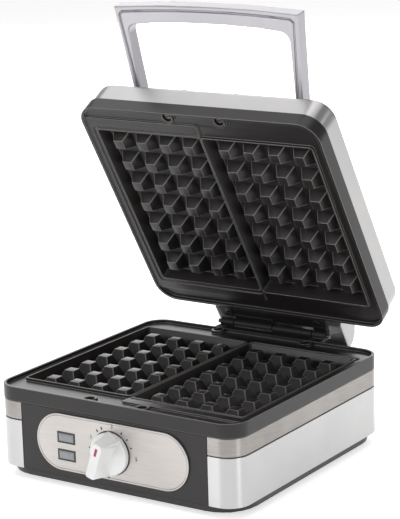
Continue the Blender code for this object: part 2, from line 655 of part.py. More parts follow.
def leaf(name, heights, near_y, knuckles, arm, screw_y):
    """A hinge leaf with its own knuckles, and a seat for each screw head.

    knuckles holds the numbers of the knuckles that it carries, and arm the height of their roots.
    """
    rear_y = HINGE_Y - 0.0045
    made = block(name, (KNUCKLES[0], near_y, heights[0]), (KNUCKLES[-1], rear_y, heights[1]), "black")
    for number in knuckles:
        start, stop = KNUCKLES[number] + 0.0004, KNUCKLES[number + 1] - 0.0004
        add(made, block(f"{name}_arm_{number}", (start, rear_y - 0.003, arm[0]), (stop, HINGE_Y, arm[1])),
            rod(f"{name}_knuckle_{number}", (start, HINGE_Y, HINGE_Z), (stop, HINGE_Y, HINGE_Z),
                KNUCKLE_RADIUS, sides=20))
    cut(made, rod(f"{name}_pin_bore", (-0.07, HINGE_Y, HINGE_Z), (0.07, HINGE_Y, HINGE_Z),
                  PIN_RADIUS + RUNNING, sides=16))
    for side in (-1, 1):
        x = side * BRACKET_SCREW_X
        cut(made, rod(f"{name}_hole_{side}", (x, screw_y, heights[0] - 0.01), (x, screw_y,
                                                                               heights[1] + 0.01),
                      SCREW_RADIUS + GAP, sides=10))
    return made


def hinge():
    """Both leaves and the pin that joins them."""
    near = MIDDLE_Y + HALF_DEPTH + 0.0006
    base_leaf = leaf("hinge_base_bracket", BASE_LEAF, near, (0, 2), BASE_LEAF, BASE_LEAF_SCREW_Y)
    near = LID_Y + LID_HALF_DEPTH + 0.0006
    lid_leaf = leaf("hinge_lid_bracket", LID_LEAF, near, (1, 3), (HINGE_Z + 0.0024, LID_LEAF[1]),
                    LID_LEAF_SCREW_Y)
    for side in (-1, 1):
        x, word = side * BRACKET_SCREW_X, "left" if side < 0 else "right"
        cut(base_leaf, rod(f"base_leaf_seat_{side}", (x, BASE_LEAF_SCREW_Y, BASE_LEAF[1] - 0.0008),
                           (x, BASE_LEAF_SCREW_Y, BASE_LEAF[1] + 0.01), HEAD_RADIUS + GAP, sides=14))
        cut(lid_leaf, rod(f"lid_leaf_seat_{side}", (x, LID_LEAF_SCREW_Y, LID_LEAF[0] - 0.01),
                          (x, LID_LEAF_SCREW_Y, LID_LEAF[0] + 0.0008), HEAD_RADIUS + GAP, sides=14))
        screw(f"base_bracket_screw_{word}", (x, BASE_LEAF_SCREW_Y, BASE_LEAF[1] + 0.0009), (0, 0, -1),
              0.014,
              thickness=0.0014)
        screw(f"lid_bracket_screw_{word}", (x, LID_LEAF_SCREW_Y, LID_LEAF[0] - 0.0009), (0, 0, 1), 0.014,
              thickness=0.0014)
    rod("hinge_pin", (-0.058, HINGE_Y, HINGE_Z), (0.058, HINGE_Y, HINGE_Z), PIN_RADIUS, "screw", sides=16)


# ---------------------------------------------------------------- lid, laid out shut
# side view: pitches back from the plate's middle, and pitches above its peg tips
HOOD_PROFILE = (
    (4.30, 1.400), (4.90, 1.400), (5.35, 1.270), (5.95, 0.965), (6.20, 0.810), (6.36, 0.580),
    (6.43, 0.320), (6.35, 0.200), (5.18, 0.200), (4.90, 0.500), (4.30, 0.500),
)
HOOD_CAVITY = (
    (4.20, 1.325), (4.89, 1.325), (5.32, 1.200), (5.91, 0.900), (6.14, 0.760), (6.285, 0.560),
    (6.35, 0.320), (6.27, 0.050), (4.20, 0.050),
)


def hood_shape(name, half_x, profile):
    """The hood's side view, drawn out across the lid."""
    bm = bmesh.new()
    ring = [bm.verts.new((-half_x, LID_Y + along * PITCH, LID_PEG_Z + height * PITCH)) for along,
            height in profile]
    moved = bmesh.ops.extrude_face_region(bm, geom=[bm.faces.new(ring)])
    far = [part for part in moved["geom"] if isinstance(part, bmesh.types.BMVert)]
    bmesh.ops.translate(bm, vec=(2 * half_x, 0, 0), verts=far)
    return piece(name, bm)


def cover():
    """The silver lid shell, with the hood that covers the hinge and the bosses inside."""
    made = slab("lid_cover", HALF_WIDTH - 0.0012, LID_HALF_DEPTH - 0.0010, COVER_LOW, COVER_HIGH, CORNER,
                "silver",
                y=LID_Y, soften=0.0060)
    add(made, hood_shape("cover_hood", HOOD_HALF, HOOD_PROFILE))
    inner = WALL + 0.0012
    inside = slab("cover_inside", HALF_WIDTH - inner, LID_HALF_DEPTH - inner, COVER_LOW - 0.01,
                  COVER_HIGH - WALL,
                  CORNER - WALL, y=LID_Y, soften=0.0045)
    cut(made, inside, hood_shape("cover_hood_inside", HOOD_HALF - WALL, HOOD_CAVITY))
    clear = LID_Y + LID_HALF_DEPTH + 2 * GAP
    cut(made, block("cover_skirt_room", (-0.2, clear - 0.1, LID_PEG_Z), (0.2, clear, COVER_LOW)))
    roof = COVER_HIGH - WALL / 2
    for side in (-1, 1):
        x, y = side * SCREW_X, LID_Y - SCREW_Y
        add(made, rod(f"cover_post_{side}", (x, y + 0.0015, LID_PEG_Z + 0.0045), (x, y + 0.0015, roof),
                      POST_RADIUS, sides=14))
        cut(made, rod(f"cover_post_bore_{side}", (x, y, LID_PEG_Z), (x, y, LID_PEG_Z + 0.022),
                      SCREW_RADIUS + GAP, sides=10))
        x, y = side * BRACKET_SCREW_X, LID_LEAF_SCREW_Y
        add(made, rod(f"cover_boss_{side}", (x, y, LID_LEAF[1] + GAP), (x, y, roof), 0.0046, sides=14))
        cut(made, rod(f"cover_boss_bore_{side}", (x, y, LID_PEG_Z - 0.01), (x, y, LID_LEAF[1] + 0.0135),
                      SCREW_RADIUS + GAP, sides=10))
        x, y = handle_screw_place(side)
        cut(made, rod(f"cover_handle_hole_{side}", (x, y, COVER_HIGH - 0.01), (x, y, COVER_HIGH + 0.01),
                      SCREW_RADIUS + GAP, sides=10))
    return made


def handle_screw_place(side):
    """Where a screw comes up through the cover into a leg of the handle."""
    return side * (HANDLE_INNER[0] + HANDLE_OUTER[0]) / 2, HANDLE_ROOT[0] + 0.011


def handle_outline():
    """The loop seen square on: points (across, along) of its outer edge and then its inner edge."""
    spread = (HANDLE_OUTER[1] - HANDLE_OUTER[0]) / HANDLE_REACH[0]
    rise = HANDLE_REACH[1] - HANDLE_REACH[0]
    steps = 14
    outer = [(HANDLE_OUTER[0] + spread * HANDLE_FOOT, HANDLE_FOOT)]
    outer += [
        (HANDLE_OUTER[1] * (1 - 2 * i / steps), HANDLE_REACH[0] + rise * (1 - (1 - 2 * i / steps) ** 2))
        for i in range(steps + 1)
    ]
    outer.append((-outer[0][0], HANDLE_FOOT))
    fillet, top = 0.0090, HANDLE_THROAT[0]
    corner = [
        (HANDLE_INNER[1] - fillet + fillet * math.cos(a), top - fillet + fillet * math.sin(a))
        for a in [math.radians(18 * step) for step in range(6)]
    ]
    flare = (HANDLE_INNER[1] - HANDLE_INNER[0]) / top
    foot = HANDLE_INNER[0] + flare * HANDLE_FOOT
    middles = (-0.052, -0.018, 0.018, 0.052)
    arch = [(x, top + (HANDLE_THROAT[1] - top) * (1 - (x / HANDLE_INNER[1]) ** 2)) for x in middles]
    left = [(-foot, HANDLE_FOOT)] + [(-x, along) for x, along in corner]
    inner = left + arch + corner[::-1] + [(foot, HANDLE_FOOT)]
    return outer, inner


def handle():
    """The silver loop: a flat bar on edge, cut off flush with the cover's top."""
    outer, inner = handle_outline()
    bm = bmesh.new()
    face = bm.faces.new([bm.verts.new((x, 0.0, along)) for x, along in outer + inner])
    moved = bmesh.ops.extrude_face_region(bm, geom=[face])
    far = [part for part in moved["geom"] if isinstance(part, bmesh.types.BMVert)]
    bmesh.ops.translate(bm, vec=(0, HANDLE_DEPTH, 0), verts=far)
    bmesh.ops.recalc_face_normals(bm, faces=bm.faces)
    rim = [e for e in bm.edges if len(e.link_faces) == 2 and e.calc_face_angle(0) > math.radians(60)
           and abs(e.verts[0].co.y - e.verts[1].co.y) < 1e-6]
    bmesh.ops.bevel(bm, geom=rim, offset=0.0010, segments=2, profile=0.5, affect="EDGES")
    lean = Matrix.Rotation(math.pi / 2 - HANDLE_TILT, 4, "X")
    bmesh.ops.transform(bm, matrix=Matrix.Translation((0, *HANDLE_ROOT)) @ lean, verts=bm.verts)
    made = piece("handle", bm, "silver")
    flush = COVER_HIGH + GAP
    cut(made, block("handle_trim", (-0.2, -0.3, flush - 0.1), (0.2, 0.2, flush)))
    for side in (-1, 1):
        x, y = handle_screw_place(side)
        cut(made, rod(f"handle_bore_{side}", (x, y, flush - 0.01), (x, y, flush + 0.0068),
                      SCREW_RADIUS + GAP, sides=10))
        screw(f"handle_screw_{'left' if side < 0 else 'right'}", (x, y, COVER_HIGH - WALL - GAP - 0.0018),
              (0, 0, 1), 0.0082)
    return made


def lid():
    """Everything that swings on the hinge."""
    cover()
    plate("upper_plate", LID_HALF_DEPTH, LID_Y, LID_PEG_Z, -1, LID_SKIRT)
    under = LID_PEG_Z + PEG_HEIGHT + PLATE_FLOOR
    heater("upper_heater", LID_Y, under + 0.0032 + GAP)
    heat_shield("upper_heat_shield", LID_Y, under + GAP, under + 0.0095)
    fuse("upper_thermal_fuse", LID_Y, under + 0.0024 + GAP)
    handle()
    for x, from_middle in plate_screw_places(-1):
        screw(f"upper_plate_screw_{'left' if x < 0 else 'right'}",
              (x, LID_Y + from_middle, LID_PEG_Z + 0.0003), (0, 0, 1), 0.016)
    pivot = bpy.data.objects.new("lid_pivot", None)
    PARTS.objects.link(pivot)
    pivot.location = (0, HINGE_Y, HINGE_Z)
    swing(pivot, LID_PIECES)
    pivot.rotation_euler.x = -OPEN_ANGLE


LID_PIECES = (
    "lid_cover", "upper_plate", "upper_heater", "upper_heat_shield", "upper_thermal_fuse", "handle",
    "hinge_lid_bracket",
    "upper_plate_screw_left", "upper_plate_screw_right", "lid_bracket_screw_left", "lid_bracket_screw_right",
    "handle_screw_left", "handle_screw_right",
)


def base():
    """Everything that stays on the table."""
    pan()
    feet()
    housing()
    wrap("trim_band", BAND_LOW, BAND_HIGH, "steel", inset=0.0003)
    front_panel()
    control_plate()
    lenses()
    thermostat()
    knob()
    plate("lower_plate", HALF_DEPTH, MIDDLE_Y, PEG_TOP_Z, 1, SKIRT_DROP)
    under = PEG_TOP_Z - PEG_HEIGHT - PLATE_FLOOR
    heater("lower_heater", MIDDLE_Y, under - 0.0032 - GAP)
    heat_shield("lower_heat_shield", MIDDLE_Y, under - GAP, under - 0.0095)
    fuse("lower_thermal_fuse", MIDDLE_Y, under - 0.0024 - GAP)
    for x, from_middle in plate_screw_places(1):
        screw(f"lower_plate_screw_{corner_name(x, from_middle)}",
              (x, MIDDLE_Y + from_middle, PEG_TOP_Z - 0.0003),
              (0, 0, -1), 0.016)
    rear_services()


base()
hinge()
lid()
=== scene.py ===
"""Looks for a two-waffle maker, open on a table: castings, silver shells, dial and finishes.

Every length is in metres.  The lid's pieces are laid out shut and then swung open about the hinge.
"""
from __future__ import annotations

import logging
import math
from collections.abc import Callable, Iterable
from dataclasses import dataclass
from enum import Enum

import bpy
from mathutils import Matrix, Vector


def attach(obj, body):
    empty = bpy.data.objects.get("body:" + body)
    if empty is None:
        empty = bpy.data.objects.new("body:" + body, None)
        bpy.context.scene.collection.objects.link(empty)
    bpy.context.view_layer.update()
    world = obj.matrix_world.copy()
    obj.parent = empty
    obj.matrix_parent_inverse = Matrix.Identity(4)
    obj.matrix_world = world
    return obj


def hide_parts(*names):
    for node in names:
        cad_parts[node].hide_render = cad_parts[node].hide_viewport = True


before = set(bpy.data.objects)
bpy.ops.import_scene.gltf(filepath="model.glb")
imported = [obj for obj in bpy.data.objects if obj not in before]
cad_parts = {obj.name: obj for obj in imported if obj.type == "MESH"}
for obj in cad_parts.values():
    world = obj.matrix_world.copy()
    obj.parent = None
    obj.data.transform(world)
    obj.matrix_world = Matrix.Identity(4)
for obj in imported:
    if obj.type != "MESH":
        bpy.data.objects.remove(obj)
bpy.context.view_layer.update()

LOG = logging.getLogger("waffle_maker")

PITCH = 0.024                    # spacing of the pegs
MIDDLE_Y = -0.0101               # middle of the lower plate
LID_Y = MIDDLE_Y + 0.0016        # middle of the upper plate with the lid shut
PEG_TOP_Z = 0.0762
LID_PEG_Z = PEG_TOP_Z + 0.0081   # tips of the upper pegs with the lid shut
COVER_TOP_Z = LID_PEG_Z + 0.0336
OPEN_ANGLE = math.radians(58.87)
HINGE = Vector((0.0, MIDDLE_Y + 5.51 * PITCH, PEG_TOP_Z + 0.12 * PITCH))
FRONT_Y = MIDDLE_Y - 4.87 * PITCH
DIAL_FACE_Y = FRONT_Y - 0.0013
KNOB_Z = PEG_TOP_Z - 1.60 * PITCH
KNOB_TILT = math.radians(18.0)

Point = tuple[float, float, float]
Colour = tuple[float, float, float]


class Body(Enum):
    """The rigid groups of the appliance."""

    BASE = "base"
    LID = "lid"
    KNOB = "knob"


class Grain(Enum):
    """How a finish's fine pattern runs."""

    EVEN = (1.0, 1.0, 1.0)
    ALONG_X = (0.02, 1.0, 1.0)
    ROUND_BODY = (0.03, 0.03, 1.0)


# ------------------------------------------------------------------ finishes
@dataclass(frozen=True)
class Finish:
    """A surface: its two close colours, its gloss and the fine relief that breaks it up.

    Attributes:
        name: The material's name.
        slot: The record's material slot that it belongs to; not used.
        colour: Main colour.
        drift: Colour that the main one drifts to in slow clouds.
        roughness: Middle of the roughness.
        swing: How far the roughness moves either way.
        metallic: Share of bare metal.
        grain: Direction of the fine pattern.
        grain_scale: Cycles of the fine pattern in a metre.
        relief: Strength of the bump.
        coat: Clear coat over it.
        specular: Strength of the highlights of what isn't metal.
        brushing: Direction across the brushing, along which highlights are drawn out, or None.
    """

    name: str
    slot: str
    colour: Colour
    drift: Colour
    roughness: float
    swing: float = 0.05
    metallic: float = 0.0
    grain: Grain = Grain.EVEN
    grain_scale: float = 1800.0
    relief: float = 0.08
    coat: float = 0.0
    specular: float = 0.5
    brushing: Point | None = None

    def make(self) -> bpy.types.Material:
        """Build the node material once.

        Returns:
            The material, made now or found by name.
        """
        known = bpy.data.materials.get(self.name)
        if known:
            return known
        made = bpy.data.materials.new(self.name)
        made.use_nodes = True
        made.diffuse_color = (*self.colour, 1.0)
        nodes, links = made.node_tree.nodes, made.node_tree.links
        shader = nodes["Principled BSDF"]
        shader.inputs["Metallic"].default_value = self.metallic
        shader.inputs["Coat Weight"].default_value = self.coat
        shader.inputs["Specular IOR Level"].default_value = self.specular
        shader.inputs["Coat Roughness"].default_value = 0.12
        where = nodes.new("ShaderNodeTexCoord")
        stretch = nodes.new("ShaderNodeMapping")
        stretch.inputs["Scale"].default_value = self.grain.value
        links.new(where.outputs["Object"], stretch.inputs["Vector"])
        fine = nodes.new("ShaderNodeTexNoise")
        fine.inputs["Scale"].default_value = self.grain_scale
        fine.inputs["Detail"].default_value = 3.0
        links.new(stretch.outputs["Vector"], fine.inputs["Vector"])
        clouds = nodes.new("ShaderNodeTexNoise")
        clouds.inputs["Scale"].default_value = 22.0
        clouds.inputs["Detail"].default_value = 4.0
        links.new(where.outputs["Object"], clouds.inputs["Vector"])
        self._colour(made, fine, clouds)
        if self.brushing:
            across = nodes.new("ShaderNodeCombineXYZ")
            for socket, share in zip(across.inputs, self.brushing):
                socket.default_value = share
            links.new(across.outputs[0], shader.inputs["Tangent"])
            shader.inputs["Anisotropic"].default_value = 0.94
        rough = nodes.new("ShaderNodeMapRange")
        rough.inputs["To Min"].default_value = self.roughness - self.swing
        rough.inputs["To Max"].default_value = self.roughness + self.swing
        blend = nodes.new("ShaderNodeMath")
        blend.operation = "ADD"
        links.new(fine.outputs["Fac"], blend.inputs[0])
        links.new(clouds.outputs["Fac"], blend.inputs[1])
        half = nodes.new("ShaderNodeMath")
        half.operation = "MULTIPLY"
        half.inputs[1].default_value = 0.5
        links.new(blend.outputs[0], half.inputs[0])
        links.new(half.outputs[0], rough.inputs["Value"])
        links.new(rough.outputs["Result"], shader.inputs["Roughness"])
        bump = nodes.new("ShaderNodeBump")
        bump.inputs["Strength"].default_value = self.relief
        bump.inputs["Distance"].default_value = 0.0002
        links.new(fine.outputs["Fac"], bump.inputs["Height"])
        links.new(bump.outputs["Normal"], shader.inputs["Normal"])
        return made

    def _colour(self, made: bpy.types.Material, fine: bpy.types.Node, clouds: bpy.types.Node) -> None:
        """Mix the two close colours by the patterns.

        Args:
            made: The material that is being built.
            fine: Noise node of the fine pattern.
            clouds: Noise node of the slow drift.
        """
        nodes, links = made.node_tree.nodes, made.node_tree.links
        shader = nodes["Principled BSDF"]
        share = nodes.new("ShaderNodeMath")
        share.operation = "MULTIPLY"
        links.new(fine.outputs["Fac"], share.inputs[0])
        links.new(clouds.outputs["Fac"], share.inputs[1])
        spread = nodes.new("ShaderNodeMapRange")
        spread.inputs["From Min"].default_value = 0.1
        spread.inputs["From Max"].default_value = 0.4
        links.new(share.outputs[0], spread.inputs["Value"])
        mixed = nodes.new("ShaderNodeMix")
        mixed.data_type = "RGBA"
        mixed.inputs["A"].default_value = (*self.colour, 1.0)
        mixed.inputs["B"].default_value = (*self.drift, 1.0)
        links.new(spread.outputs["Result"], mixed.inputs["Factor"])
        links.new(mixed.outputs["Result"], shader.inputs["Base Color"])


NON_STICK = Finish("non_stick", "nonstick", (0.015, 0.013, 0.013), (0.022, 0.0195, 0.019), 0.33, 0.06,
                   grain_scale=1400.0, relief=0.12, specular=0.38)
# Lighter non-stick for the bevelled edges of the plates and pegs: a painted highlight along the edges, where
# gloss would catch the light.
PAINTED_EDGE_HIGHLIGHT = Finish("painted_edge_highlight", "nonstick", (0.16, 0.155, 0.15), (0.12, 0.115, 0.11), 0.26, 0.05,
                     grain_scale=1400.0, relief=0.10)
SATIN_SILVER = Finish("satin_silver", "silver", (0.60, 0.595, 0.59), (0.54, 0.54, 0.545), 0.30, 0.04,
                      metallic=0.85, grain_scale=2600.0, relief=0.04, brushing=(0.02, 0.03, 1.0))
# The housing's silver made darker for the lid: the darkening is painted shade for the lid's dim side walls.
LID_SILVER_SHADED = Finish("lid_silver_painted_shade", "silver", (0.50, 0.49, 0.485), (0.45, 0.445, 0.45), 0.33, 0.04,
                    metallic=0.85, grain_scale=2600.0, relief=0.04, brushing=(0.02, 0.83, 0.53))
HANDLE_SILVER = Finish("handle_silver", "silver", (0.50, 0.485, 0.51), (0.44, 0.43, 0.46), 0.36, 0.04,
                       metallic=0.55, grain_scale=2600.0, relief=0.04)
BRUSHED_BAND = Finish("brushed_band", "steel", (0.42, 0.395, 0.375), (0.31, 0.29, 0.275), 0.34, 0.08,
                      metallic=0.95, grain=Grain.ROUND_BODY, grain_scale=2200.0, relief=0.10,
                      brushing=(0.02, 0.03, 1.0))
BRUSHED_DIAL = Finish("brushed_dial", "steel", (0.54, 0.515, 0.495), (0.46, 0.435, 0.42), 0.40, 0.06,
                      metallic=0.85, grain=Grain.ALONG_X, grain_scale=1800.0, relief=0.08)
HINGE_BLACK = Finish("hinge_black", "black", (0.012, 0.011, 0.011), (0.018, 0.016, 0.016), 0.52, 0.06,
                     grain_scale=1500.0, relief=0.14, specular=0.4)
BLACK_MOULDING = Finish("black_moulding", "black", (0.016, 0.014, 0.014), (0.022, 0.019, 0.019), 0.40, 0.05,
                        grain_scale=1500.0, relief=0.14, specular=0.4)
PEARL = Finish("pearl_white", "knob", (0.80, 0.80, 0.79), (0.74, 0.74, 0.74), 0.30, 0.05,
               grain_scale=2400.0, relief=0.03, coat=0.3)
RED_MARK = Finish("red_mark", "marker", (0.40, 0.02, 0.07), (0.34, 0.02, 0.06), 0.40)
SMOKED_WINDOW = Finish("smoked_window", "lens", (0.20, 0.205, 0.22), (0.27, 0.275, 0.29), 0.22, 0.06,
                       grain_scale=700.0, relief=0.25, coat=0.5)
RUBBER = Finish("foot_rubber", "rubber", (0.018, 0.018, 0.018), (0.026, 0.026, 0.026), 0.80, 0.08, relief=0.3)
SCREW_STEEL = Finish("screw_steel", "screw", (0.42, 0.41, 0.41), (0.30, 0.29, 0.29), 0.32, 0.08, metallic=1.0)
DARK_SCREW = Finish("dark_screw", "screw", (0.13, 0.125, 0.12), (0.09, 0.085, 0.08), 0.34, 0.08, metallic=0.9)
BRIGHT_SHEET = Finish("bright_sheet", "shield", (0.66, 0.66, 0.65), (0.58, 0.58, 0.57), 0.34, 0.08,
                      metallic=1.0)
CERAMIC = Finish("ceramic_body", "ceramic", (0.72, 0.70, 0.64), (0.64, 0.62, 0.57), 0.62, 0.06, relief=0.2)
HEATER_SHEATH = Finish("heater_sheath", "element", (0.17, 0.15, 0.14), (0.10, 0.09, 0.09), 0.48, 0.10,
                       metallic=0.9, relief=0.2)
AMBER = Finish("amber_lamp", "amber", (0.62, 0.22, 0.05), (0.52, 0.17, 0.04), 0.22, coat=0.4)
# Dark print for the scale and the window frames; also painted shade in the ring round the knob.
INK_AND_SHADE = Finish("dial_ink_and_painted_shade", "black", (0.030, 0.028, 0.028), (0.040, 0.038, 0.038), 0.55, 0.05)


# ------------------------------------------------------------------ the bench
class Bench:
    """Modelling by Blender's own operators, on one piece at a time."""

    @staticmethod
    def take(piece: bpy.types.Object) -> None:
        """Deselect everything, then select the piece and make it active.

        Args:
            piece: The piece to work on.
        """
        if bpy.context.object and bpy.context.object.mode != "OBJECT":
            bpy.ops.object.mode_set(mode="OBJECT")
        bpy.ops.object.select_all(action="DESELECT")
        bpy.context.view_layer.objects.active = piece
        piece.select_set(True)

    @classmethod
    def named(cls, name: str) -> bpy.types.Object:
        """Name the piece that an operator has just added, and bake its place into its mesh.

        Args:
            name: The new name.

        Returns:
            The piece.
        """
        made = bpy.context.object
        made.name = made.data.name = name
        bpy.ops.object.transform_apply(location=True, rotation=True, scale=True)
        return made

    @classmethod
    def box(cls, name: str, low: Point, high: Point) -> bpy.types.Object:
        """Add a box between two corners.

        Args:
            name: The piece's name.
            low: Lowest corner.
            high: Highest corner.

        Returns:
            The box, with its place in its mesh.
        """
        one, two = Vector(low), Vector(high)
        bpy.ops.object.select_all(action="DESELECT")
        bpy.ops.mesh.primitive_cube_add(size=1.0, location=(one + two) / 2)
        bpy.context.object.scale = two - one
        return cls.named(name)

    @classmethod
    def cylinder(cls, name: str, start: Point, end: Point, radius: float,
                 sides: int = 48) -> bpy.types.Object:
        """Add a round bar between two points.

        Args:
            name: The piece's name.
            start: Middle of one end.
            end: Middle of the other end.
            radius: Its radius.
            sides: Flats round it.

        Returns:
            The bar, with its place in its mesh.
        """
        one, two = Vector(start), Vector(end)
        bpy.ops.object.select_all(action="DESELECT")
        bpy.ops.mesh.primitive_cylinder_add(
            vertices=sides, radius=radius, depth=(two - one).length, location=(one + two) / 2,
            rotation=(two - one).to_track_quat("Z", "Y").to_euler(),
        )
        return cls.named(name)

    @classmethod
    def choose(cls, piece: bpy.types.Object, mode: str, test: Callable[[Vector, Vector], bool]) -> None:
        """Enter edit mode with chosen edges or faces selected.

        Args:
            piece: The piece to edit.
            mode: EDGE or FACE.
            test: Takes an edge's two ends, or a face's middle and normal, and says whether it is chosen.
        """
        cls.take(piece)
        bpy.ops.object.mode_set(mode="EDIT")
        bpy.ops.mesh.select_mode(type=mode)
        bpy.ops.mesh.select_all(action="DESELECT")
        bpy.ops.object.mode_set(mode="OBJECT")
        mesh = piece.data
        if mode == "EDGE":
            for edge in mesh.edges:
                one, two = (mesh.vertices[i].co for i in edge.vertices)
                edge.select = test(one, two)
        else:
            for face in mesh.polygons:
                face.select = test(face.center, face.normal)
        bpy.ops.object.mode_set(mode="EDIT")

    @classmethod
    def round_edges(cls, piece: bpy.types.Object, radius: float, segments: int,
                    test: Callable[[Vector, Vector], bool]) -> bpy.types.Object:
        """Round the chosen edges.

        Args:
            piece: The piece to edit.
            radius: Radius of the rounding.
            segments: Steps in it.
            test: Says of an edge's two ends whether it is rounded.

        Returns:
            The same piece.
        """
        cls.choose(piece, "EDGE", test)
        # The new bevel faces take the last material; on the plates that is the lighter painted edge
        # highlight.
        edge = len(piece.data.materials) - 1
        bpy.ops.mesh.bevel(offset=radius, segments=segments, profile=0.5, affect="EDGES", clamp_overlap=True,
                           material=edge)
        bpy.ops.object.mode_set(mode="OBJECT")
        return piece

    @classmethod
    def join_shape(cls, piece: bpy.types.Object, tools: Iterable[bpy.types.Object],
                   operation: str = "DIFFERENCE") -> bpy.types.Object:
        """Cut tools out of a piece, or merge them into it, and use the tools up.

        Args:
            piece: The piece to change.
            tools: The shapes that change it.
            operation: DIFFERENCE or UNION.

        Returns:
            The same piece.
        """
        for tool in tools:
            cls.take(piece)
            step = piece.modifiers.new("shape", "BOOLEAN")
            step.operation = operation
            step.solver = "EXACT"
            step.object = tool
            bpy.ops.object.modifier_apply(modifier=step.name)
            bpy.data.objects.remove(tool, do_unlink=True)
        return piece

    @classmethod
    def soften(cls, piece: bpy.types.Object, radius: float, segments: int = 2,
               angle: float = 32.0) -> bpy.types.Object:
        """Break every sharp edge by a small radius and shade the piece smoothly.

        Args:
            piece: The piece to finish.
            radius: Radius of the broken edges.
            segments: Steps in them.
            angle: Smallest angle, in degrees, that counts as sharp.

        Returns:
            The same piece.
        """
        cls.take(piece)
        cls.facet(piece)
        step = piece.modifiers.new("edges", "BEVEL")
        step.width = radius
        step.segments = segments
        step.limit_method = "ANGLE"
        step.angle_limit = math.radians(angle)
        step.use_clamp_overlap = False
        # The new bevel faces take the last material; on the plates that is the lighter painted edge
        # highlight.
        step.material = len(piece.data.materials) - 1
        bpy.ops.object.modifier_apply(modifier=step.name)
        cls.facet(piece)
        bpy.ops.object.shade_smooth_by_angle(angle=math.radians(50.0))
        flat = piece.modifiers.new("flat", "WEIGHTED_NORMAL")
        flat.mode = "FACE_AREA"
        flat.weight = 80
        flat.keep_sharp = True
        bpy.ops.object.modifier_apply(modifier=flat.name)
        return piece

    @staticmethod
    def facet(piece: bpy.types.Object) -> None:
        """Split every face of more than four corners into triangles.

        Args:
            piece: The active piece.
        """
        step = piece.modifiers.new("facets", "TRIANGULATE")
        step.min_vertices = 5
        step.ngon_method = "CLIP"
        bpy.ops.object.modifier_apply(modifier=step.name)

    @classmethod
    def merged(cls, name: str, pieces: list[bpy.types.Object]) -> bpy.types.Object:
        """Join several pieces into one object.

        Args:
            name: The joined piece's name.
            pieces: What it is joined from.

        Returns:
            The joined piece.
        """
        cls.take(pieces[0])
        for piece in pieces[1:]:
            piece.select_set(True)
        bpy.ops.object.join()
        return cls.named(name)

    @staticmethod
    def moved(piece: bpy.types.Object, matrix: Matrix) -> bpy.types.Object:
        """Carry the piece's mesh by a matrix, leaving its object at the origin.

        Args:
            piece: The piece to carry.
            matrix: Where its mesh goes.

        Returns:
            The same piece.
        """
        piece.data.transform(matrix)
        piece.data.update()
        return piece

    @classmethod
    def copy_of_node(cls, node: str, name: str) -> bpy.types.Object:
        """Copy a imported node's solid, with its doubles merged and its flat areas cleaned.

        Args:
            node: The node's name.
            name: The copy's name.

        Returns:
            A free copy that stands in for nothing yet.
        """
        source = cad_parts[node]
        made = bpy.data.objects.new(name, source.data.copy())
        made.data.name = name
        made.data.materials.clear()
        bpy.context.scene.collection.objects.link(made)
        cls.take(made)
        bpy.ops.object.mode_set(mode="EDIT")
        bpy.ops.mesh.select_all(action="SELECT")
        bpy.ops.mesh.remove_doubles(threshold=2e-6)
        bpy.ops.mesh.dissolve_limited(angle_limit=math.radians(0.6))
        bpy.ops.object.mode_set(mode="OBJECT")
        if made.data.has_custom_normals:
            bpy.ops.mesh.customdata_custom_splitnormals_clear()
        return made

    @staticmethod
    def hand_over(piece: bpy.types.Object, finish: Finish, body: Body, *nodes: str) -> bpy.types.Object:
        """Dress a finished piece, let it ride on its body and report it.

        Args:
            piece: The finished piece.
            finish: Its surface.
            body: The rigid group that carries it.
            nodes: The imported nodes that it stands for.

        Returns:
            The same piece.
        """
        if not piece.data.materials:
            piece.data.materials.append(finish.make())
        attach(piece, body.value)
        if nodes:
            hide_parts(*nodes)
        LOG.info("%s: %d faces, on the %s", piece.name, len(piece.data.polygons), body.value)
        return piece


def swing_open(piece: bpy.types.Object) -> bpy.types.Object:
    """Turn a piece of the shut lid about the hinge to its open place.

    Args:
        piece: The piece, modelled on the shut lid.

    Returns:
        The same piece.
    """
    turn = Matrix.Translation(HINGE) @ Matrix.Rotation(-OPEN_ANGLE, 4, "X") @ Matrix.Translation(-HINGE)
    return Bench.moved(piece, turn)


def upright(one: Vector, two: Vector) -> bool:
    """Say whether an edge runs straight up.

    Args:
        one: The edge's first end.
        two: Its second end.

    Returns:
        True for an upright edge.
    """
    return abs(one.z - two.z) > 1e-5 and abs(one.x - two.x) < 1e-6 and abs(one.y - two.y) < 1e-6


# ------------------------------------------------------------------ plates
class PlateSide(Enum):
    """Which of the two castings is made, with the node that it stands for and its body."""

    LOWER = ("lower_plate", Body.BASE)
    UPPER = ("upper_plate", Body.LID)


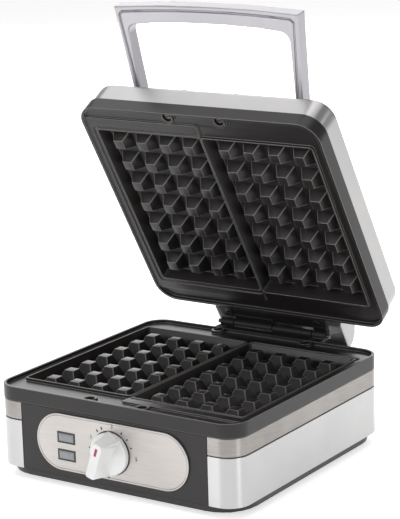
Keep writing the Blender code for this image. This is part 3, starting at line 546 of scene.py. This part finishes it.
@dataclass
class WafflePlate:
    """A cast plate: outer bead, drip gutter, one lipped and one grooved field, and its pegs.

    It is laid out with its pegs up, their tops at height 0, and then turned over for the lid.
    """

    side: PlateSide
    half_x: float = 4.92 * PITCH
    half_y: float = 4.87 * PITCH
    corner: float = 0.0186
    bead: float = 0.0024
    rise: float = 0.0020
    gutter: float = -0.0010
    skirt: float = 0.0101
    peg_top: float = 0.385 * PITCH
    peg_base: float = 0.76 * PITCH
    peg_height: float = 0.416 * PITCH
    edge: float = 0.695 * PITCH
    first_column: float = 0.746 * PITCH
    lip: float = 0.0013
    land: float = 0.0006
    screw_x: float = 0.0256
    screw_y: float = 4.56 * PITCH
    rear_screw_x: float = 0.0456
    rear_screw_y: float = 4.64 * PITCH

    @property
    def field_half_y(self) -> float:
        """Half the depth of a field at its mouth.

        Returns:
            The half depth in metres.
        """
        return 3 * PITCH + self.edge

    @property
    def field_x(self) -> tuple[float, float]:
        """Inner and outer edges of the right-hand field at its mouth.

        Returns:
            The two edges, in metres from the middle.
        """
        return self.first_column - self.edge, self.first_column + 3 * PITCH + self.edge

    def build(self) -> None:
        """Make the casting, put it in its place and hand it over."""
        if self.side is PlateSide.UPPER:
            self.half_y, self.skirt = 4.77 * PITCH, 0.0110
        casting = self._tray()
        self._fields(casting)
        casting.data.materials.clear()
        # The second material colours every bevel face of the casting lighter: a painted highlight on the
        # edges.
        for finish in (NON_STICK, PAINTED_EDGE_HIGHLIGHT):
            casting.data.materials.append(finish.make())
        Bench.soften(casting, 0.0004, 2)
        casting = Bench.merged(f"{self.side.value[0]}_casting", [casting, *self._pegs()])
        if self.side is PlateSide.LOWER:
            Bench.moved(casting, Matrix.Translation((0, MIDDLE_Y, PEG_TOP_Z)))
        else:
            over = Matrix.Translation((0, LID_Y, LID_PEG_Z)) @ Matrix.Rotation(math.pi, 4, "Y")
            swing_open(Bench.moved(casting, over))
        Bench.hand_over(casting, NON_STICK, self.side.value[1], self.side.value[0])

    def _layer(self, name: str, xs: tuple[float, float], half_y: float, zs: tuple[float, float],
               corner: float) -> bpy.types.Object:
        """Make a flat block with rounded upright corners.

        Args:
            name: The block's name.
            xs: Its two edges along X.
            half_y: Half its depth.
            zs: Its lower and upper heights.
            corner: Radius of its corners.

        Returns:
            The block.
        """
        made = Bench.box(name, (min(xs), -half_y, min(zs)), (max(xs), half_y, max(zs)))
        return Bench.round_edges(made, corner, 8, upright)

    def _tray(self) -> bpy.types.Object:
        """Make the outline with its bead, gutter, lip and grooved land.

        Returns:
            The tray without its fields.
        """
        inner, outer = self.field_x
        tray = self._layer("tray", (-self.half_x, self.half_x), self.half_y, (-self.skirt, self.rise),
                           self.corner)
        well = self._layer("well", (-self.half_x + self.bead, self.half_x - self.bead),
                           self.half_y - self.bead, (self.gutter, 0.01), self.corner - self.bead)
        Bench.join_shape(tray, [well])
        land = self._layer("land", (inner - self.lip, self.half_x - 0.001), self.field_half_y + 0.013,
                           (-0.004, self.land), 0.002)
        lip = self._layer("lip", (-outer - self.lip, -inner + self.lip), self.field_half_y + self.lip,
                          (-0.004, 0.0015), 0.0035)
        Bench.join_shape(tray, [land, lip], "UNION")
        groove = self._layer("groove", (inner - 0.0002, outer + 0.0042), self.field_half_y + 0.0042,
                             (self.land - 0.0012, 0.01), 0.0040)
        ridge = self._layer("ridge", (inner - 0.002, outer + 0.0014), self.field_half_y + 0.0014,
                            (-0.006, 0.02), 0.0028)
        return Bench.join_shape(tray, [Bench.join_shape(groove, [ridge])])

    def _fields(self, tray: bpy.types.Object) -> None:
        """Sink the two sloping fields and the screw seats.

        Args:
            tray: The tray to cut.
        """
        inner, outer = self.field_x
        depth = self.peg_height + 0.0015
        slope = 0.195 * PITCH / depth
        for sign in (-1, 1):
            reach = slope * 0.004
            near, far = min(sign * inner, sign * outer), max(sign * inner, sign * outer)
            sink = Bench.box("sink", (near - reach, -self.field_half_y - reach, -self.peg_height),
                             (far + reach, self.field_half_y + reach, 0.0055))
            Bench.round_edges(sink, 0.0030, 5, upright)
            middle = Vector((sign * (inner + outer) / 2, 0, 0))
            floor_x = (outer - inner) / 2 - 0.195 * PITCH
            floor_y = self.field_half_y - 0.195 * PITCH
            factor = Vector((floor_x / ((outer - inner) / 2 + reach),
                             floor_y / (self.field_half_y + reach), 1.0))
            for vert in sink.data.vertices:
                if vert.co.z < 0:
                    vert.co = middle + (vert.co - middle) * factor
            Bench.join_shape(tray, [sink])
        places = [(-self.screw_x, -self.screw_y), (self.screw_x, -self.screw_y)]
        if self.side is PlateSide.LOWER:
            places += [(-self.rear_screw_x, self.rear_screw_y), (self.rear_screw_x, self.rear_screw_y)]
        bosses = []
        for x, y in places:
            inward = y - math.copysign(0.0014, y)
            bosses.append(Bench.cylinder("boss", (x, inward, -0.0060), (x, inward, self.rise - 0.0006),
                                         0.0056, 40))
        Bench.join_shape(tray, bosses, "UNION")
        seats = [Bench.cylinder("seat", (x, y, -0.0024), (x, y, 0.01), 0.0042, 40) for x, y in places]
        Bench.join_shape(tray, seats)

    def _pegs(self) -> list[bpy.types.Object]:
        """Model one peg and copy it over both fields.

        Returns:
            All the pegs, each with its own mesh.
        """
        root = 0.0008
        low = (self.peg_base + (self.peg_base - self.peg_top) / self.peg_height * root) / 2
        bpy.ops.object.select_all(action="DESELECT")
        bpy.ops.mesh.primitive_cone_add(
            vertices=4, radius1=low * math.sqrt(2), radius2=self.peg_top / math.sqrt(2),
            depth=self.peg_height + root, location=(0, 0, -(self.peg_height + root) / 2),
            rotation=(0, 0, math.pi / 4),
        )
        peg = Bench.named("peg")
        # The peg's rounded edges take the second material, a lighter painted highlight.
        for finish in (NON_STICK, PAINTED_EDGE_HIGHLIGHT):
            peg.data.materials.append(finish.make())
        Bench.round_edges(peg, 0.0007, 3, lambda one, two: abs(one.z - two.z) > 0.002)
        Bench.round_edges(peg, 0.0003, 2, lambda one, two: min(one.z, two.z) > -0.001)
        Bench.take(peg)
        bpy.ops.object.shade_smooth_by_angle(angle=math.radians(34.0))
        made = []
        for sign in (-1, 1):
            for column in range(4):
                for row in range(-3, 4):
                    copy = peg.copy()
                    copy.data = peg.data.copy()
                    bpy.context.scene.collection.objects.link(copy)
                    place = (sign * (self.first_column + column * PITCH), row * PITCH, 0.0)
                    made.append(Bench.moved(copy, Matrix.Translation(place)))
        bpy.data.objects.remove(peg, do_unlink=True)
        return made


# ------------------------------------------------------------------ handle
@dataclass
class LoopHandle:
    """The silver loop on the lid: a flat bar on edge with a fine groove under its crown."""

    tilt: float = math.radians(18.0)
    depth: float = 0.0125
    outer: tuple[float, float] = (0.0829, 0.0902)
    reach: tuple[float, float] = (0.0880, 0.0911)
    groove_drop: float = 0.0042
    groove_inset: float = 0.0046
    groove_radius: float = 0.0008

    def build(self) -> None:
        """Soften the solid, cut the groove and hand it over."""
        bar = Bench.copy_of_node("handle", "loop_handle")
        Bench.join_shape(bar, [self._groove()])
        Bench.soften(bar, 0.0007, 2, 28.0)
        Bench.hand_over(bar, HANDLE_SILVER, Body.LID, "handle")

    def _place(self) -> Matrix:
        """Give the matrix from the handle's own plane to its open place.

        Returns:
            The matrix.
        """
        root = Vector((0, LID_Y - 3.766 * PITCH, COVER_TOP_Z))
        lean = Matrix.Translation(root) @ Matrix.Rotation(math.pi / 2 - self.tilt, 4, "X")
        turn = Matrix.Translation(HINGE) @ Matrix.Rotation(-OPEN_ANGLE, 4, "X") @ Matrix.Translation(-HINGE)
        return turn @ lean

    def _groove(self) -> bpy.types.Object:
        """Draw the fine line that follows the crown on the front face.

        Returns:
            A thin tube to cut with.
        """
        line = bpy.data.curves.new("groove", "CURVE")
        line.dimensions = "3D"
        line.bevel_depth = self.groove_radius
        line.bevel_resolution = 2
        line.use_fill_caps = True
        crown = []
        rise = self.reach[1] - self.reach[0]
        half = self.outer[1] - self.groove_inset
        for number in range(25):
            across = -1 + number / 12
            crown.append((across * (half - 0.003), self.reach[0] + rise * (1 - across**2) - self.groove_drop))
        foot = self.outer[0] - self.groove_inset + 0.0004
        points = [(-foot, 0.004), (-half, crown[0][1] - 0.003), *crown,
                  (half, crown[-1][1] - 0.003), (foot, 0.004)]
        path = line.splines.new("POLY")
        path.points.add(len(points) - 1)
        for point, (x, along) in zip(path.points, points):
            point.co = (x, 0.0, along, 1.0)
        drawn = bpy.data.objects.new("groove", line)
        bpy.context.scene.collection.objects.link(drawn)
        Bench.take(drawn)
        bpy.ops.object.convert(target="MESH")
        made = bpy.context.object
        bpy.ops.object.mode_set(mode="EDIT")
        bpy.ops.mesh.select_all(action="SELECT")
        bpy.ops.mesh.remove_doubles(threshold=1e-6)
        bpy.ops.mesh.normals_make_consistent(inside=False)
        bpy.ops.object.mode_set(mode="OBJECT")
        return Bench.moved(made, self._place())


# ------------------------------------------------------------------ dial
@dataclass
class ControlDial:
    """The front's plate with its scale, windows and knob.

    It is drawn with X to the right, Y up and Z out of the front, and then stood up.
    """

    half_length: float = 0.0745
    radius: float = 0.0240
    middle_z: float = PEG_TOP_Z - 1.55 * PITCH
    thickness: float = 0.0014
    knob_radius: float = 0.0176
    knob_reach: float = 0.0240
    scale_radius: float = 0.0212
    window_x: float = -0.0446
    window_size: tuple[float, float] = (0.0158, 0.0077)
    window_drops: tuple[float, float] = (0.0330, 0.0478)

    def build(self) -> None:
        """Make and hand over every piece of the dial."""
        self._face()
        self._windows()
        self._scale()
        self._painted_shade_ring()
        self._knob()

    def _stand(self, height: float, out: float = 0.0, turn: float = 0.0) -> Matrix:
        """Give the matrix that stands a drawn piece on the front.

        Args:
            height: Height of its middle above the table.
            out: How far it stands proud of the plate's face.
            turn: Clockwise turn, seen from the front.

        Returns:
            The matrix.
        """
        stood = Matrix.Rotation(math.pi / 2, 4, "X") @ Matrix.Rotation(-turn, 4, "Z")
        return Matrix.Translation((0, DIAL_FACE_Y - out, height)) @ stood

    def _face(self) -> None:
        """Make the plate: round ends, a fine raised border and the cut-outs."""
        plate = Bench.box("dial_plate", (-self.half_length, -self.radius, -self.thickness),
                          (self.half_length, self.radius, 0.0))
        Bench.round_edges(plate, self.radius * 0.992, 24, upright)
        Bench.choose(plate, "FACE", lambda middle, normal: normal.z > 0.9)
        bpy.ops.mesh.inset(thickness=0.0012)
        bpy.ops.mesh.inset(thickness=0.0003, depth=-0.0005)
        bpy.ops.mesh.inset(thickness=0.0003, depth=0.0004)
        bpy.ops.object.mode_set(mode="OBJECT")
        wide, tall = (size / 2 + 0.0003 for size in self.window_size)
        for drop in self.window_drops:
            y = PEG_TOP_Z - drop - self.middle_z
            hole = Bench.box("hole", (self.window_x - wide, y - tall, -0.01),
                             (self.window_x + wide, y + tall, 0.01))
            Bench.join_shape(plate, [hole])
        y = KNOB_Z - self.middle_z
        Bench.join_shape(plate, [Bench.cylinder("hole", (0, y, -0.01), (0, y, 0.01), 0.0045)])
        Bench.soften(plate, 0.00022, 2, 40.0)
        Bench.moved(plate, self._stand(self.middle_z))
        Bench.hand_over(plate, BRUSHED_DIAL, Body.BASE, "control_plate")

    def _windows(self) -> None:
        """Make the smoked windows and their dark frames."""
        wide, tall = (size / 2 for size in self.window_size)
        for word, drop in zip(("power", "ready"), self.window_drops):
            y = PEG_TOP_Z - drop - self.middle_z
            window = Bench.box(f"{word}_window", (self.window_x - wide, y - tall, -0.0072),
                               (self.window_x + wide, y + tall, 0.0002))
            Bench.choose(window, "FACE", lambda middle, normal: normal.z > 0.9)
            bpy.ops.mesh.inset(thickness=0.0011)
            bpy.ops.mesh.inset(thickness=0.0004, depth=0.0004)
            bpy.ops.object.mode_set(mode="OBJECT")
            Bench.soften(window, 0.0002, 2)
            Bench.moved(window, self._stand(self.middle_z))
            Bench.hand_over(window, SMOKED_WINDOW, Body.BASE, f"{word}_lens")
            frame = Bench.box(f"{word}_window_frame",
                              (self.window_x - wide - 0.0009, y - tall - 0.0009, -0.0003),
                              (self.window_x + wide + 0.0009, y + tall + 0.0009, 0.00035))
            inside = Bench.box("inside", (self.window_x - wide + 0.0006, y - tall + 0.0006, -0.01),
                               (self.window_x + wide - 0.0006, y + tall - 0.0006, 0.01))
            Bench.soften(Bench.join_shape(frame, [inside]), 0.00015, 1)
            Bench.hand_over(Bench.moved(frame, self._stand(self.middle_z)), INK_AND_SHADE, Body.BASE)

    def _scale(self) -> None:
        """Print the dashes, dots and generic numbers round the knob."""
        dashes = [(-38, 0.0022), (-24, 0.0024), (31, 0.0019), (50, 0.0017), (70, 0.0016)]
        marks = []
        for angle, length in dashes:
            mark = Bench.box("mark", (-0.0006, -length / 2, -0.0004), (0.0006, length / 2, 0.00003))
            marks.append(self._round_dial(mark, angle, self.scale_radius))
        for angle in (-86, 188):
            dot = Bench.cylinder("dot", (0, 0, -0.0004), (0, 0, 0.00003), 0.0007, 16)
            marks.append(self._round_dial(dot, angle, self.scale_radius))
        for angle, figure, away in ((-62, "1", 0.0008), (4, "3", 0.0012), (93, "5", 0.0035)):
            marks.append(self._figure(figure, angle, self.scale_radius + away))
        scale = Bench.merged("dial_scale", marks)
        Bench.hand_over(Bench.moved(scale, self._stand(KNOB_Z)), INK_AND_SHADE, Body.BASE)

    def _round_dial(self, mark: bpy.types.Object, angle: float, radius: float) -> bpy.types.Object:
        """Move a mark out to its place on the scale, turned to point at the middle.

        Args:
            mark: The mark.
            angle: Its angle clockwise from the top, in degrees.
            radius: Its distance from the dial's middle.

        Returns:
            The same mark.
        """
        out = Matrix.Rotation(-math.radians(angle), 4, "Z") @ Matrix.Translation((0, radius, 0))
        return Bench.moved(mark, out)

    def _figure(self, figure: str, angle: float, radius: float) -> bpy.types.Object:
        """Print one upright number beside the scale.

        Args:
            figure: The number.
            angle: Its place, in degrees clockwise from the top.
            radius: Its distance from the knob's middle.

        Returns:
            The number as a thin mesh.
        """
        bpy.ops.object.select_all(action="DESELECT")
        bpy.ops.object.text_add()
        text = bpy.context.object
        text.data.body = figure
        text.data.size = 0.0050
        text.data.align_x, text.data.align_y = "CENTER", "CENTER"
        text.data.extrude = 0.00015
        text.data.resolution_u = 3
        bpy.ops.object.convert(target="MESH")
        made = bpy.context.object
        turn = math.radians(angle)
        place = Matrix.Translation((radius * math.sin(turn), radius * math.cos(turn), -0.0001))
        return Bench.moved(made, place)

    def _painted_shade_ring(self) -> None:
        """Make a thin dark ring round the knob: painted shade in the recess between its skirt and the plate.
        """
        ring = Bench.cylinder("dial_painted_shade_ring", (0, 0, -0.0003), (0, 0, 0.0001),
                              self.knob_radius + 0.0009, 96)
        Bench.join_shape(ring, [Bench.cylinder("inside", (0, 0, -0.01), (0, 0, 0.01), 0.0050)])
        Bench.soften(ring, 0.0001, 1)
        # The ring's dark colour is painted shade where the knob's skirt shadows the plate.
        Bench.hand_over(Bench.moved(ring, self._stand(KNOB_Z)), INK_AND_SHADE, Body.BASE)

    def _knob(self) -> None:
        """Make the domed knob with its tall grip, and the mark on the grip."""
        disc = Bench.cylinder("turning_knob", (0, 0, 0.0003), (0, 0, 0.0046), self.knob_radius, 96)
        for inward, up in ((0.0008, 0.0), (0.0010, 0.0009), (0.0022, 0.0016), (0.0034, 0.0018),
                           (0.0042, 0.0013), (0.0032, 0.0004)):
            Bench.choose(disc, "FACE", lambda middle, normal: normal.z > 0.9 and middle.xy.length < 1e-4)
            bpy.ops.mesh.inset(thickness=inward, depth=up)
            bpy.ops.object.mode_set(mode="OBJECT")
        grip = Bench.box("grip", (-0.0080, -0.0172, 0.0008), (0.0080, 0.0172, self.knob_reach))
        for vert in grip.data.vertices:
            if vert.co.z > 0.01:
                vert.co.x *= 0.0043 / 0.0080
                vert.co.y *= 0.0154 / 0.0172
        Bench.round_edges(grip, 0.0022, 5, lambda one, two: abs(one.z - two.z) > 0.01)
        Bench.round_edges(grip, 0.0009, 4, lambda one, two: min(one.z, two.z) > self.knob_reach - 1e-4)
        Bench.join_shape(disc, [grip], "UNION")
        seat = Bench.box("seat", (-0.0011, 0.0050, self.knob_reach - 0.0005),
                         (0.0011, 0.0117, self.knob_reach + 0.01))
        Bench.join_shape(disc, [Bench.round_edges(seat, 0.0006, 3, upright)])
        Bench.soften(disc, 0.0005, 3, 30.0)
        place = self._stand(KNOB_Z, turn=KNOB_TILT)
        Bench.hand_over(Bench.moved(disc, place), PEARL, Body.KNOB, "knob")
        mark = Bench.box("pointer_mark", (-0.0010, 0.0051, self.knob_reach - 0.0005),
                         (0.0010, 0.0116, self.knob_reach))
        Bench.round_edges(mark, 0.0005, 3, upright)
        Bench.soften(mark, 0.0001, 1)
        Bench.hand_over(Bench.moved(mark, place), RED_MARK, Body.KNOB, "knob_marker")


# ------------------------------------------------------------------ shells and hardware
@dataclass(frozen=True)
class Shell:
    """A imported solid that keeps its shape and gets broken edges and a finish.

    Attributes:
        node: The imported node.
        name: The piece's name.
        finish: Its surface.
        body: The rigid group that carries it.
        radius: Radius of its broken edges.
        angle: Smallest angle, in degrees, that is broken.
    """

    node: str
    name: str
    finish: Finish
    body: Body
    radius: float = 0.0005
    angle: float = 32.0

    def build(self) -> None:
        """Copy the solid, break its edges and hand it over."""
        made = Bench.copy_of_node(self.node, self.name)
        Bench.soften(made, self.radius, 2, self.angle)
        Bench.hand_over(made, self.finish, self.body, self.node)


SHELLS = (
    Shell("lid_cover", "lid_shell", LID_SILVER_SHADED, Body.LID, 0.0007, 38.0),
    Shell("lower_housing", "housing_shell", SATIN_SILVER, Body.BASE, 0.0005, 38.0),
    Shell("trim_band", "brushed_trim_band", BRUSHED_BAND, Body.BASE, 0.0004, 38.0),
    Shell("front_panel", "black_front", BLACK_MOULDING, Body.BASE, 0.0004),
    Shell("bottom_pan", "bottom_tray", BLACK_MOULDING, Body.BASE, 0.0005),
    Shell("hinge_carrier", "hinge_block", HINGE_BLACK, Body.BASE, 0.0008),
    Shell("hinge_base_bracket", "base_hinge_leaf", HINGE_BLACK, Body.BASE, 0.0003, 40.0),
    Shell("hinge_lid_bracket", "lid_hinge_leaf", HINGE_BLACK, Body.LID, 0.0003, 40.0),
)

PLAIN_FINISHES: tuple[tuple[str, Finish], ...] = (
    ("foot_screw", SCREW_STEEL), ("plate_screw", DARK_SCREW), ("bracket_screw", DARK_SCREW),
    ("handle_screw", SCREW_STEEL), ("hinge_pin", DARK_SCREW), ("foot_", RUBBER), ("cord_gland", RUBBER),
    ("_lamp", AMBER), ("lamp_board", BLACK_MOULDING), ("heat_shield", BRIGHT_SHEET),
    ("heater", HEATER_SHEATH), ("thermal_fuse", CERAMIC), ("terminal_block", CERAMIC),
    ("thermostat_body", CERAMIC), ("thermostat_bracket", SCREW_STEEL), ("thermostat_shaft", SCREW_STEEL),
)


def dress_plain_nodes() -> None:
    """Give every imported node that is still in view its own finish."""
    for name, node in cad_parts.items():
        if node.hide_render:
            continue
        finish = next(finish for word, finish in PLAIN_FINISHES if word in name)
        for slot in node.material_slots:
            slot.link = "OBJECT"
            slot.material = finish.make()
        LOG.info("%s keeps its solid, in %s", name, finish.name)


# ------------------------------------------------------------------ studio
@dataclass
class Studio:
    """The floor, the light and the camera."""

    azimuth: float = math.radians(33.89)
    elevation: float = math.radians(13.571)
    roll: float = math.radians(-1.636)
    target: Point = (0.081 * PITCH, 0.589 * PITCH + MIDDLE_Y, 3.838 * PITCH + PEG_TOP_Z)
    distance: float = 69.245 * PITCH
    lens: float = 137.99

    def build(self) -> None:
        """Set up everything that isn't part of the appliance."""
        self._floor()
        self._world()
        self._light("front_left", (-0.9, -2.2, 0.9), 1.0, 14.0)
        self._light("right", (2.3, -0.45, 0.8), 0.6, 9.0)
        self._light("top", (-0.5, 0.3, 2.1), 2.6, 36.0)
        self._light("back", (-1.6, 2.4, 0.9), 2.0, 26.0)
        self._camera()

    def _floor(self) -> None:
        """Lay the pale floor."""
        bpy.ops.object.select_all(action="DESELECT")
        bpy.ops.mesh.primitive_plane_add(size=40.0)
        floor = Bench.named("floor")
        pale = bpy.data.materials.new("pale_floor")
        pale.use_nodes = True
        shader = pale.node_tree.nodes["Principled BSDF"]
        shader.inputs["Base Color"].default_value = (0.95, 0.95, 0.95, 1.0)
        shader.inputs["Roughness"].default_value = 0.8
        shader.inputs["Emission Color"].default_value = (1.0, 1.0, 1.0, 1.0)
        shader.inputs["Emission Strength"].default_value = 0.62
        floor.data.materials.append(pale)

    def _world(self) -> None:
        """Fill the room with even pale light."""
        world = bpy.data.worlds.new("studio")
        world.use_nodes = True
        sky = world.node_tree.nodes["Background"]
        sky.inputs["Color"].default_value = (1.0, 1.0, 1.0, 1.0)
        sky.inputs["Strength"].default_value = 0.28
        bpy.context.scene.world = world
        bpy.context.scene.view_settings.view_transform = "Standard"

    def _light(self, name: str, place: Point, size: float, power: float) -> None:
        """Hang a large soft light that faces the appliance.

        Args:
            name: The light's name.
            place: Where it hangs.
            size: Length of its sides.
            power: Its power in watts.
        """
        lamp = bpy.data.lights.new(name, "AREA")
        lamp.shape = "SQUARE"
        lamp.size = size
        lamp.energy = power
        hung = bpy.data.objects.new(name, lamp)
        hung.location = place
        hung.rotation_euler = (Vector((0, 0, 0.15)) - Vector(place)).to_track_quat("-Z", "Y").to_euler()
        hung.visible_camera = False
        bpy.context.scene.collection.objects.link(hung)

    def _camera(self) -> None:
        """Stand the camera in front, to the right and a little above."""
        cos_e, sin_e = math.cos(self.elevation), math.sin(self.elevation)
        back = Vector((math.sin(self.azimuth) * cos_e, -math.cos(self.azimuth) * cos_e, sin_e))
        right = Vector((math.cos(self.azimuth), math.sin(self.azimuth), 0.0))
        up = back.cross(right)
        side = right * math.cos(self.roll) + up * math.sin(self.roll)
        top = up * math.cos(self.roll) - right * math.sin(self.roll)
        turn = Matrix((side, top, back)).transposed().to_4x4()
        camera = bpy.data.objects.new("camera", bpy.data.cameras.new("camera"))
        camera.data.lens = self.lens
        camera.data.sensor_width = 36.0
        camera.matrix_world = Matrix.Translation(Vector(self.target) + back * self.distance) @ turn
        bpy.context.scene.collection.objects.link(camera)
        bpy.context.scene.camera = camera


def main() -> None:
    """Build the appliance's looks, sub-assembly by sub-assembly."""
    logging.basicConfig(level=logging.INFO, format="%(message)s")
    Studio().build()
    for side in PlateSide:
        WafflePlate(side).build()
    LoopHandle().build()
    ControlDial().build()
    for shell in SHELLS:
        shell.build()
    dress_plain_nodes()


if __name__ == "__main__":
    main()
